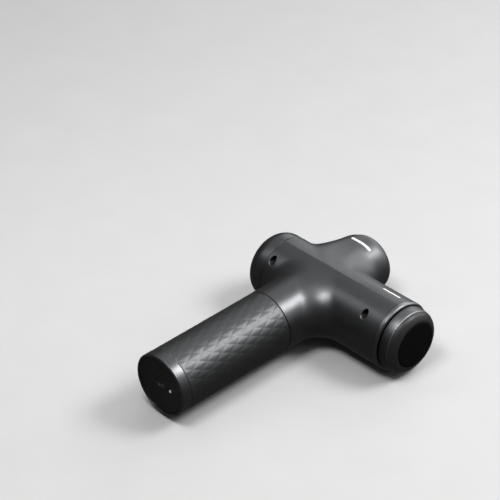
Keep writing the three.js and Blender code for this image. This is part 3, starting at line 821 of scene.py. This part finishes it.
def add_rear_cap():
    rounding = 14.0
    arc_spots = 22
    thin_wall = SHELL_WALL * 0.7
    arc = [
        (REAR_FACE + rounding * (1 - math.sin(t)), BARREL_RADIUS - rounding * (1 - math.cos(t)))
        for t in np.linspace(0, math.pi / 2, arc_spots)
    ]
    arc = [corner for corner in arc if corner[1] > PANEL_RADIUS + 2]
    inner = [(x + thin_wall, r - thin_wall) for x, r in arc[::-1]]
    outline = softened([
        (REAR_SEAM - 0.2, BARREL_RADIUS - SHELL_WALL),
        (REAR_SEAM - 0.2, BARREL_RADIUS, END_LIP),
        *arc,
        (REAR_FACE, PANEL_RADIUS + GAP, 0.25),
        (REAR_FACE + 2.4, PANEL_RADIUS + GAP),
        *inner,
    ])
    piece = lathe("rear_cap_shell", "x", outline)
    for vert in piece.data.vertices:
        x, y, z = (np.array(vert.co) - CROSSING_M) / MM
        if y < 0:
            shrink = 1 - float(crease_dip(y, z) * crease_share(x)) / BARREL_RADIUS
        else:
            shrink = 1 - max(float(roof(x, y, z)), 0) / BARREL_RADIUS
        vert.co.yz = Vector((y, z)) * shrink * MM + Vector(CROSSING_M[1:])
    mount(piece, "housing", "handle_shell", "rear_cap")


def add_bezel():
    start = BARREL_FRONT + FRONT_LIP
    outline = softened([
        (start, BEZEL_HOLE),
        (start, BARREL_RADIUS - 0.03, 0.05),
        (BEZEL_FRONT - 1.2, BARREL_RADIUS - 0.03, 0.3),
        (BEZEL_FRONT - 0.25, BARREL_RADIUS - 1.05, 0.25),
        (BEZEL_FRONT - 0.2, BARREL_RADIUS - 2.0, 0.15),
        (BEZEL_FRONT - 1.8, BARREL_RADIUS - 2.1, 0.1),
        (BEZEL_FRONT - 1.8, BEZEL_HOLE),
    ])
    mount(lathe("bezel_ring", "x", outline), "housing", "satin_metal", "front_bezel",
          finish="bezel_ring")


def add_screws():
    for i, (x, side) in enumerate([(x, side) for x in SCREW_PLACES for side in (1, -1)]):
        centre = (x, 0, side * SCREW_OFFSET)
        head = SCREW_SEAT - GAP
        outline = softened([
            (head - 2.2, 0), (head - 2.2, 2.6, 0.5), (head, 2.6), (head, 1.5), (10, 1.5),
            (10, 0),
        ], closed=False)
        name = f"housing_screw_{i + 1}"
        piece = lathe(name + "_detail", "y", outline, centre, closed=False, around=48)
        combine(piece, rod("hex", "y", 1.3, head - 4, head - 0.9, centre, around=6), "DIFFERENCE")
        mount(piece, "housing", "steel", name)
        # Painted shade: a thin black lining on each screw well's wall keeps the deep hole dark.
        sleeve = column(f"screw_well_shade_lining_{i + 1}", centre, [
            (SHADE_LINING_BORE, ("skin", 0.75)), (SCREW_WELL - 0.03, ("skin", 0.6)),
            (SCREW_WELL - 0.03, SCREW_SEAT - 0.1), (SHADE_LINING_BORE, SCREW_SEAT - 0.1),
        ], hollow=True)
        mount(sleeve, "housing", "dark_plastic", finish="rubber")


add_handle_side()
add_dome_side()
add_rear_cap()
add_bezel()
add_screws()


# ---------- Rear panel and vent ----------

ARC_INNER = 9.3
ARC_OUTER = 10.7
ARC_REACH = math.radians(105)
VENT_SLOTS = 12
VENT_SLOT_PLACE = 8.3
VENT_SLOT_SIZE = (2.5, 0.8)


def add_rear_panel():
    back = REAR_FACE + 2.9
    edge = 0.3
    outline = softened([
        (REAR_FACE, BUTTON_RADIUS + GAP, edge), (REAR_FACE, PANEL_RADIUS, edge),
        (back, PANEL_RADIUS), (back, PANEL_RADIUS + 2), (back + 1, PANEL_RADIUS + 2),
        (back + 1, BUTTON_RADIUS + GAP),
    ])
    piece = lathe("display_panel_disc", "x", outline)
    spare = 0.2
    slot = bent_bar("slot", ARC_INNER - spare, ARC_OUTER + spare,
                    ARC_REACH + spare / ARC_OUTER, REAR_FACE - 1, back + 3)
    combine(piece, slot, "DIFFERENCE")
    mount(piece, "housing", "gloss_panel", "display_panel")
    bar = bent_bar("light_arc_bar", ARC_INNER, ARC_OUTER, ARC_REACH, REAR_FACE + 0.1,
                   back + 2.3, 0.15)
    mount(bar, "housing", "clear_light", "light_arc")


def add_button():
    front = REAR_FACE - BUTTON_PROUD
    back = REAR_FACE + 4.2
    outline = softened([
        (front + 0.35, 0), (front + 0.3, 2.5, 0.8), (front, BUTTON_RADIUS - 0.9, 0.4),
        (front + 0.15, BUTTON_RADIUS, 0.3), (back, BUTTON_RADIUS), (back, BUTTON_RADIUS + 1.6),
        (back + 0.9, BUTTON_RADIUS + 1.6), (back + 0.9, 0),
    ], closed=False)
    piece = lathe("power_button_cap", "x", outline, closed=False)
    mount(piece, "power_button", "dark_plastic", "power_button")


def add_vent():
    seat = DOME_END - 4
    face = DOME_END - 0.6
    outline = softened([
        (seat, 0), (seat, VENT_RADIUS + 1), (seat + 0.8, VENT_RADIUS + 1),
        (seat + 0.8, VENT_RADIUS - GAP), (face, VENT_RADIUS - GAP, 0.4),
        (face, VENT_RADIUS - 1.2, 0.1), (face - 0.3, VENT_RADIUS - 1.4, 0.1),
        (face - 0.3, 4.8, 0.1), (face, 4.6, 0.1), (face, 3.8, 0.5), (face - 0.5, 0),
    ], closed=False)
    piece = lathe("vent_grille", "y", outline, (DOME_X, 0, 0), closed=False)
    for i in range(VENT_SLOTS):
        turn = 2 * math.pi * i / VENT_SLOTS
        across, high = VENT_SLOT_PLACE * math.cos(turn), VENT_SLOT_PLACE * math.sin(turn)
        centre = (DOME_X + across, 0, high)
        rings = [(seat - 2, *VENT_SLOT_SIZE), (face + 2, *VENT_SLOT_SIZE)]
        combine(piece, stadium("slot", rings, centre, turn, 24), "DIFFERENCE")
    mount(piece, "housing", "dark_plastic", "dome_vent_cover")


add_rear_panel()
add_button()
add_vent()


# ---------- Handle ----------

DIAMONDS_ALONG = 7
DIAMONDS_AROUND = 22
DIAMOND_DEPTH = 0.17
PILLOW_BULGE = 0.7
GRIP_FADE = 1.6
GRIP_SUNK = 0.05
STEPS_ALONG_DIAMOND = 32
STEPS_AROUND_DIAMOND = 16
TONGUE_DEPTH = 0.8


def grip_radius(y, turn):
    """The sleeve's radius: low diamond pillows with grooves between them."""
    top = GRIP_TOP - GAP / 2
    along = (y - GRIP_BOTTOM) / (top - GRIP_BOTTOM) * DIAMONDS_ALONG
    around = (turn - math.pi / 2) / (2 * math.pi) * DIAMONDS_AROUND
    from_groove = [
        np.abs((value + 0.5) % 1 - 0.5) for value in (along + around + 0.5, along - around + 0.5)
    ]
    nearest = 2 * np.minimum(*from_groove)
    pillow = nearest * (1 + PILLOW_BULGE - PILLOW_BULGE * nearest)
    ends = eased(0, GRIP_FADE, y - GRIP_BOTTOM) * eased(0, GRIP_FADE, top - y)
    return HANDLE_RADIUS - GRIP_SUNK - DIAMOND_DEPTH * (1 - pillow) * ends


def add_sleeve():
    around = DIAMONDS_AROUND * STEPS_AROUND_DIAMOND
    along_steps = DIAMONDS_ALONG * STEPS_ALONG_DIAMOND
    top = GRIP_TOP - GAP / 2
    turns = np.arange(around) * 2 * math.pi / around
    inner = CORE_RADIUS + GAP
    lip = 0.35
    rows = [(GRIP_BOTTOM, inner, False), (GRIP_BOTTOM, HANDLE_RADIUS - lip, False)]
    rows += [(y, 0, True) for y in np.linspace(GRIP_BOTTOM + lip, top - lip, along_steps + 1)]
    tongue = GRIP_TOP + GAP / 2 - 0.03
    tongue_radius = HANDLE_RADIUS - TONGUE_DEPTH
    rows += [(top, HANDLE_RADIUS - lip, False), (top, tongue_radius, False)]
    rows += [(tongue, tongue_radius, False), (tongue, inner, False)]
    points = []
    for y, radius, quilted in rows:
        radii = grip_radius(np.full(around, y), turns) if quilted else np.full(around, radius)
        points.append(np.stack([radii * np.cos(turns), np.full(around, y),
                                radii * np.sin(turns)], -1))
    points = np.concatenate(points)
    faces = ring_faces(len(rows), around, hollow=True)
    piece = mesh_piece("grip_sleeve_quilted", points, faces, sharp=50)
    mount(piece, "housing", "silicone", "grip_sleeve")


def add_end_cap():
    top = GRIP_BOTTOM - 0.15
    outline = softened([
        (top, CORE_RADIUS + GAP),
        (top, HANDLE_RADIUS, 0.3),
        (HANDLE_END + 0.9, HANDLE_RADIUS, 0.15),
        (HANDLE_END, HANDLE_RADIUS - 0.8, 0.2),
        (HANDLE_END, PLATE_RADIUS + GAP, 0.2),
        (HANDLE_END + 2.8, PLATE_RADIUS + GAP),
        (HANDLE_END + 2.8, CORE_RADIUS + GAP),
    ])
    mount(lathe("end_cap_ring", "y", outline), "housing", "satin_metal", "handle_end_cap")


def add_end_plate():
    front = HANDLE_END + 0.5
    back = HANDLE_END + 2.5
    outline = softened([
        (front + 0.5, 0), (front + 0.5, 21.5), (front, 22.3, 0.3), (front, PLATE_RADIUS, 0.3),
        (back, PLATE_RADIUS), (back, 0),
    ], closed=False)
    piece = lathe("end_plate_disc", "y", outline, closed=False)
    slot = [(front - 2, PORT[0] + GAP, PORT[1] + GAP), (back + 2, PORT[0] + GAP, PORT[1] + GAP)]
    combine(piece, stadium("slot", slot), "DIFFERENCE")
    hole = rod("hole", "y", LIGHT_RADIUS + GAP, front - 2, back + 2, (LIGHT_X, 0, 0))
    combine(piece, hole, "DIFFERENCE")
    mount(piece, "housing", "dark_plastic", "handle_end_plate")


def add_port():
    front, back = HANDLE_END + 0.7, CHARGE_BOARD - GAP
    wall = 0.35
    wide, high = PORT
    piece = stadium("usb_c_shell", [
        (back, wide, high), (front + 0.12, wide, high), (front, wide - 0.12, high - 0.12),
        (front, wide - wall, high - wall), (back - 1.2, wide - wall, high - wall),
    ])
    tongue = stadium("tongue", [(front + 0.8, 3.2, 0.25), (front + 0.9, 3.3, 0.35),
                                (back - 1, 3.3, 0.35)])
    combine(piece, tongue, "UNION")
    mount(piece, "housing", "bright_metal", "usb_c_inlet")
    lens = softened([
        (HANDLE_END + 0.6, 0), (HANDLE_END + 0.7, LIGHT_RADIUS - 0.1, 0.15),
        (HANDLE_END + 1.2, LIGHT_RADIUS - 0.05), (back, LIGHT_RADIUS - 0.05), (back, 0),
    ], closed=False)
    piece = lathe("charge_light_lens", "y", lens, (LIGHT_X, 0, 0), closed=False, around=32)
    mount(piece, "housing", "clear_light", "charge_light")


add_sleeve()
add_end_cap()
add_end_plate()
add_port()


# ---------- Massage head ----------

HEAD_HOLE = 7.5
STEM_RADIUS = 7.2
STEM_GROOVE = 70
GROOVE_HALF = 1.1
GROOVE_RADIUS = 6
O_RING_PLACE = 6.8
O_RING_RADIUS = 0.62
FORK_GAP = 4.4
WRIST_HOLE = 3.3
BUSH_BACK = 52
BUSH_FRONT = 82.5
BUSH_RADIUS = 13
SEAL_RADIUS = 12.9


def add_head():
    base = softened([
        (HEAD_BACK, HEAD_HOLE),
        (HEAD_BACK, HEAD_RADIUS - 1.2, 0.2),
        (HEAD_BACK + 0.7, HEAD_RADIUS - 0.3, 0.3),
        (HEAD_BACK + 1.6, HEAD_RADIUS - 0.35, 0.08),
        (HEAD_BACK + 1.7, HEAD_RADIUS - 0.8, 0.08),
        (HEAD_BACK + 2.05, HEAD_RADIUS - 0.8, 0.08),
        (HEAD_BACK + 2.15, HEAD_RADIUS - 0.42, 0.08),
        (HEAD_BACK + 3.3, HEAD_RADIUS - 0.55, 0.05),
        (HEAD_BACK + 3.4, HEAD_RADIUS - 0.75, 0.05),
        (HEAD_BACK + 3.5, HEAD_RADIUS - 0.58, 0.05),
        (HEAD_EDGE - 0.1, HEAD_EDGE_RADIUS, 0.2),
        (HEAD_EDGE - 0.1, HEAD_HOLE),
    ])
    mount(lathe("head_base_ring", "x", base), "massage_head", "satin_metal", "head_base",
          finish="satin_ring")
    trim = softened([
        (HEAD_EDGE, 20), (HEAD_EDGE, HEAD_EDGE_RADIUS + 0.05, 0.15),
        (HEAD_EDGE + 0.8, HEAD_EDGE_RADIUS - 0.25, 0.3), (HEAD_EDGE + 0.8, 20),
    ])
    mount(lathe("head_trim", "x", trim), "massage_head", "bright_metal", "head_trim_ring",
          finish="trim_ring")
    back = HEAD_EDGE + 0.85
    cap = softened([
        (back, 0), (back, HEAD_EDGE_RADIUS - 0.6, 0.3), (HEAD_FACE - 3.2, 24.9, 1.8),
        (HEAD_FACE - 0.6, 21.0, 1.2), (HEAD_FACE - 0.4, FACE_PAD_RADIUS + 0.25, 0.2),
        (HEAD_FACE - 3, FACE_PAD_RADIUS + 0.25), (HEAD_FACE - 3, 0),
    ], closed=False, steps=8)
    mount(lathe("head_cap_dish", "x", cap, closed=False), "massage_head", "dark_plastic",
          "head_cap", finish="cap_plastic")
    pad = softened([
        (HEAD_FACE - 2.8, 0), (HEAD_FACE - 2.8, FACE_PAD_RADIUS),
        (HEAD_FACE - 0.3, FACE_PAD_RADIUS, 0.6), (HEAD_FACE, FACE_PAD_RADIUS - 1.4, 0.6),
        (HEAD_FACE, 0),
    ], closed=False)
    mount(lathe("head_pad", "x", pad, closed=False), "massage_head", "rubber", "head_face_pad",
          finish="face_rubber")


def add_stem():
    back = PISTON_FRONT - SOCKET_DEPTH + 1
    groove_back, groove_front = STEM_GROOVE - GROOVE_HALF, STEM_GROOVE + GROOVE_HALF
    outline = softened([
        (back, 0), (back, 6.2, 1.0), (back + 2, STEM_RADIUS, 0.8),
        (groove_back, STEM_RADIUS, 0.2), (groove_back, GROOVE_RADIUS, 0.2),
        (groove_front, GROOVE_RADIUS, 0.2), (groove_front, STEM_RADIUS, 0.2),
        (HEAD_EDGE - GAP, STEM_RADIUS), (HEAD_EDGE - GAP, 0),
    ], closed=False)
    mount(lathe("head_stem_plug", "x", outline, closed=False, around=72), "massage_head",
          "dark_plastic", "head_stem")
    ring = [
        (STEM_GROOVE + O_RING_RADIUS * math.sin(t), O_RING_PLACE + O_RING_RADIUS * math.cos(t))
        for t in np.linspace(0, 2 * math.pi, 16, endpoint=False)
    ]
    mount(lathe("head_seal_ring", "x", ring, around=72), "massage_head", "rubber",
          "head_o_ring")


def add_piston():
    back = WRIST_X - 9
    outline = softened([
        (back, 0), (back, PISTON_RADIUS, 0.6), (PISTON_FRONT, PISTON_RADIUS, 0.6),
        (PISTON_FRONT, SOCKET_RADIUS, 0.5), (PISTON_FRONT - SOCKET_DEPTH, SOCKET_RADIUS),
        (PISTON_FRONT - SOCKET_DEPTH, 0),
    ], closed=False)
    piece = lathe("piston_barrel", "x", outline, closed=False, around=96)
    fork = stadium("fork", [(-FORK_GAP, 20, 15), (FORK_GAP, 20, 15)], (WRIST_X - 10, 0, 0))
    combine(piece, fork, "DIFFERENCE")
    combine(piece, rod("hole", "y", WRIST_HOLE, -15, 15, (WRIST_X, 0, 0)), "DIFFERENCE")
    mount(piece, "piston", "steel", "piston", finish="turned_steel")


def add_bush_and_seal():
    inner = PISTON_RADIUS + GAP
    bush = softened([
        (BUSH_BACK, inner, 0.3), (BUSH_BACK, BUSH_RADIUS, 0.3),
        (BUSH_FRONT, BUSH_RADIUS, 0.3), (BUSH_FRONT, inner, 0.3),
    ])
    mount(lathe("piston_bush_sleeve", "x", bush, around=96), "housing", "bronze", "piston_bush")
    back = BARREL_FRONT + GAP
    front = BEZEL_FRONT - 0.5
    seal = softened([
        (back, inner), (back, SEAL_RADIUS), (front, SEAL_RADIUS, 0.3),
        (front, SEAL_RADIUS - 0.6, 0.2), (front - 0.8, SEAL_RADIUS - 0.9, 0.2),
        (front - 0.4, inner + 0.2, 0.15), (front - 1.2, inner),
    ])
    mount(lathe("dust_seal_lip", "x", seal), "housing", "rubber", "dust_seal")


add_head()
add_stem()
add_piston()
add_bush_and_seal()


# ---------- Printed marks ----------


def skin_height(field, x, y):
    """How high the skin is above a point of the middle plane."""
    low, high = 0.0, BARREL_RADIUS + 3
    for _ in range(40):
        half = (low + high) / 2
        if field(np.array([[x, y, half]]))[0] < 0:
            low = half
        else:
            high = half
    return low


def printed_bar(name, centre, half_length, half_width):
    """A plain round-ended bar printed on the dome side of the housing, along the barrel."""
    along_steps = 48
    across_spots = 7
    proud = 0.04
    depth = 0.3
    least_half = 0.02
    flat = half_length - half_width
    rows = []
    for share in np.linspace(-1, 1, along_steps + 1):
        along = share * half_length
        beyond = max(abs(along) - flat, 0)
        half = math.sqrt(max(half_width ** 2 - beyond ** 2, least_half ** 2))
        spots = np.linspace(-1, 1, across_spots)
        rows.append([(centre[0] + along, centre[1] + half * t) for t in spots])
    top, bottom = [], []
    for row in rows:
        for x, y in row:
            z = skin_height(dome_skin, x, y)
            top.append((x, y, z + proud))
            bottom.append((x, y, z - depth))
    width = len(rows[0])
    count = len(top)
    faces = []
    for r in range(len(rows) - 1):
        for c in range(width - 1):
            a = r * width + c
            quad = (a, a + 1, a + width + 1, a + width)
            faces.append(quad)
            faces.append(tuple(count + i for i in quad[::-1]))
    edge = [r * width for r in range(len(rows))]
    edge += [(len(rows) - 1) * width + c for c in range(1, width)]
    edge += [r * width + width - 1 for r in range(len(rows) - 2, -1, -1)]
    edge += [c for c in range(width - 2, 0, -1)]
    for a, b in zip(edge, edge[1:] + edge[:1]):
        faces.append((a, b, count + b, count + a))
    mount(mesh_piece(name, top + bottom, faces), "housing", "clear_light", finish="print")


printed_bar("dome_mark", (0, 45.5), 10.5, 1.2)
printed_bar("barrel_mark", (68.5, 9), 9.0, 0.7)


# ---------- Stage ----------

WORLD_TOWARDS = (0.148, 0.554, 0.819)
WORLD_DIM = 0.05
WORLD_BRIGHT = 0.7


def add_floor():
    reach = 8.0
    mesh = bpy.data.meshes.new("floor")
    mesh.from_pydata([(-reach, -reach, 0), (reach, -reach, 0), (reach, reach, 0),
                      (-reach, reach, 0)], [], [(0, 1, 2, 3)])
    floor = bpy.data.objects.new("floor", mesh)
    bpy.context.scene.collection.objects.link(floor)
    finish = Finish("floor", tint(196, 196, 196), 0.0, Roughness=0.7)
    finish.vary_color(finish.noise(40, 3), 0.985, 1.015)
    mesh.materials.append(finish.material)
    floor.visible_glossy = False


def add_light(name, azimuth, elevation, distance, width, height, radiance):
    """A soft panel that faces the object. Azimuth is measured from +X towards +Y."""
    data = bpy.data.lights.new(name, "AREA")
    data.shape = "RECTANGLE"
    data.size = width
    data.size_y = height
    data.energy = radiance * math.pi * width * height
    light = bpy.data.objects.new(name, data)
    bpy.context.scene.collection.objects.link(light)
    flat = math.cos(math.radians(elevation))
    away = Vector((
        math.cos(math.radians(azimuth)) * flat,
        math.sin(math.radians(azimuth)) * flat,
        math.sin(math.radians(elevation)),
    ))
    target = Vector(CROSSING_M)
    light.location = target + away * distance
    light.rotation_mode = "QUATERNION"
    light.rotation_quaternion = away.to_track_quat("Z", "Y")


def add_world():
    """Soft light from all round: bright high up behind the dome, dim low down and to the rear."""
    world = bpy.data.worlds.new("studio")
    world.use_nodes = True
    tree = world.node_tree
    place = tree.nodes.new("ShaderNodeTexCoord")
    along = tree.nodes.new("ShaderNodeVectorMath")
    along.operation = "DOT_PRODUCT"
    along.inputs[1].default_value = WORLD_TOWARDS
    tree.links.new(place.outputs["Generated"], along.inputs[0])
    ramp = tree.nodes.new("ShaderNodeMapRange")
    ramp.interpolation_type = "SMOOTHSTEP"
    ramp.inputs["From Min"].default_value = 0.3
    ramp.inputs["From Max"].default_value = 0.95
    ramp.inputs["To Min"].default_value = WORLD_DIM
    ramp.inputs["To Max"].default_value = WORLD_BRIGHT
    tree.links.new(along.outputs["Value"], ramp.inputs["Value"])
    background = tree.nodes["Background"]
    background.inputs["Color"].default_value = (1, 1, 1, 1)
    tree.links.new(ramp.outputs["Result"], background.inputs["Strength"])
    backdrop = tree.nodes.new("ShaderNodeBackground")
    backdrop.inputs["Color"].default_value = tint(236, 236, 236)
    seen = tree.nodes.new("ShaderNodeLightPath")
    mix = tree.nodes.new("ShaderNodeMixShader")
    tree.links.new(seen.outputs["Is Camera Ray"], mix.inputs["Fac"])
    tree.links.new(background.outputs["Background"], mix.inputs[1])
    tree.links.new(backdrop.outputs["Background"], mix.inputs[2])
    tree.links.new(mix.outputs["Shader"], tree.nodes["World Output"].inputs["Surface"])
    bpy.context.scene.world = world


add_floor()
add_world()
add_light("key_right", 48, 49, 1.4, 0.52, 0.5, 16.0)
add_light("key_top", -85, 69, 1.4, 0.5, 0.42, 15.0)
add_light("back_wall", 95, 21, 2.2, 3.1, 1.25, 1.6)
add_light("side_strip", -143.6, 48.5, 0.534, 0.13, 0.28, 1.9)

bpy.context.scene.view_settings.view_transform = "Standard"
